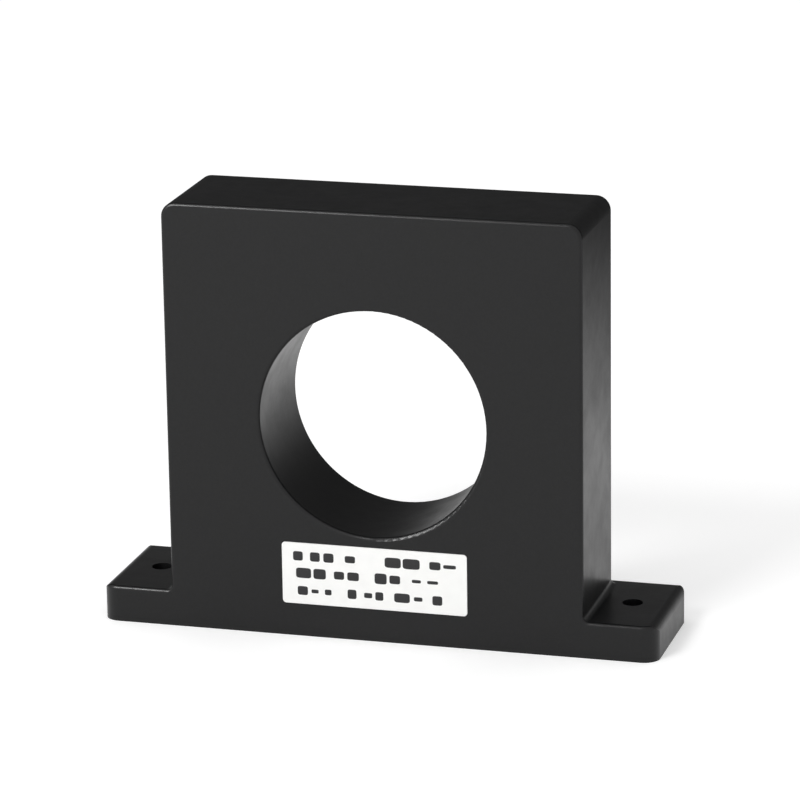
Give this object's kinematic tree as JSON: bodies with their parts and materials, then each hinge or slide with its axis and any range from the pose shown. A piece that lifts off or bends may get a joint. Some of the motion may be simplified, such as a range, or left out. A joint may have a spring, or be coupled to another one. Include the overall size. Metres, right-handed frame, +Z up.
{
  "type": "current transformer",
  "caption": "Window-type current transformer: a black moulded block with a round window, a white rating plate, a base with drilled ears and screw terminals on the back.",
  "frame": {"origin": "centre of the base's underside", "axes": "+X along the base, +Y from the front face to the back along the window, +Z up"},
  "size_m": [0.124, 0.0318, 0.0948],
  "materials": {
    "case_plastic": "moulded black thermoplastic with a low sheen",
    "cover_plastic": "moulded black thermoplastic, slightly rougher than the case",
    "plate_film": "matt white printed film",
    "core_steel": "silicon steel strip, wound",
    "pressboard": "calendered pressboard",
    "crepe_paper": "creped insulating paper",
    "winding_copper": "enamelled copper wire",
    "insulating_tape": "polyester tape",
    "cushion_foam": "closed-cell foam",
    "potting_compound": "cast polyurethane",
    "lead_copper": "tinned copper wire",
    "sleeve_braid": "glass braid sleeve",
    "tag_tin": "tinned brass",
    "insert_brass": "turned brass",
    "washer_steel": "zinc-plated steel",
    "screw_steel": "nickel-plated steel"
  },
  "bodies": {
    "root": {"case": "case_plastic", "back_cover": "cover_plastic", "rating_plate": "plate_film", "core": "core_steel", "core_collar_front": "pressboard", "core_collar_back": "pressboard", "core_band_inner": "crepe_paper", "core_band_outer": "crepe_paper", "winding": "winding_copper", "winding_tape": "insulating_tape", "cushion_ring": "cushion_foam", "potting": "potting_compound", "lead_s1": "lead_copper", "lead_sleeve_s1": "sleeve_braid", "ring_tag_s1": "tag_tin", "terminal_insert_s1": "insert_brass", "flat_washer_s1": "washer_steel", "spring_washer_s1": "washer_steel", "terminal_screw_s1": "screw_steel", "lead_s2": "lead_copper", "lead_sleeve_s2": "sleeve_braid", "ring_tag_s2": "tag_tin", "terminal_insert_s2": "insert_brass", "flat_washer_s2": "washer_steel", "spring_washer_s2": "washer_steel", "terminal_screw_s2": "screw_steel"}
  },
  "joints": []
}
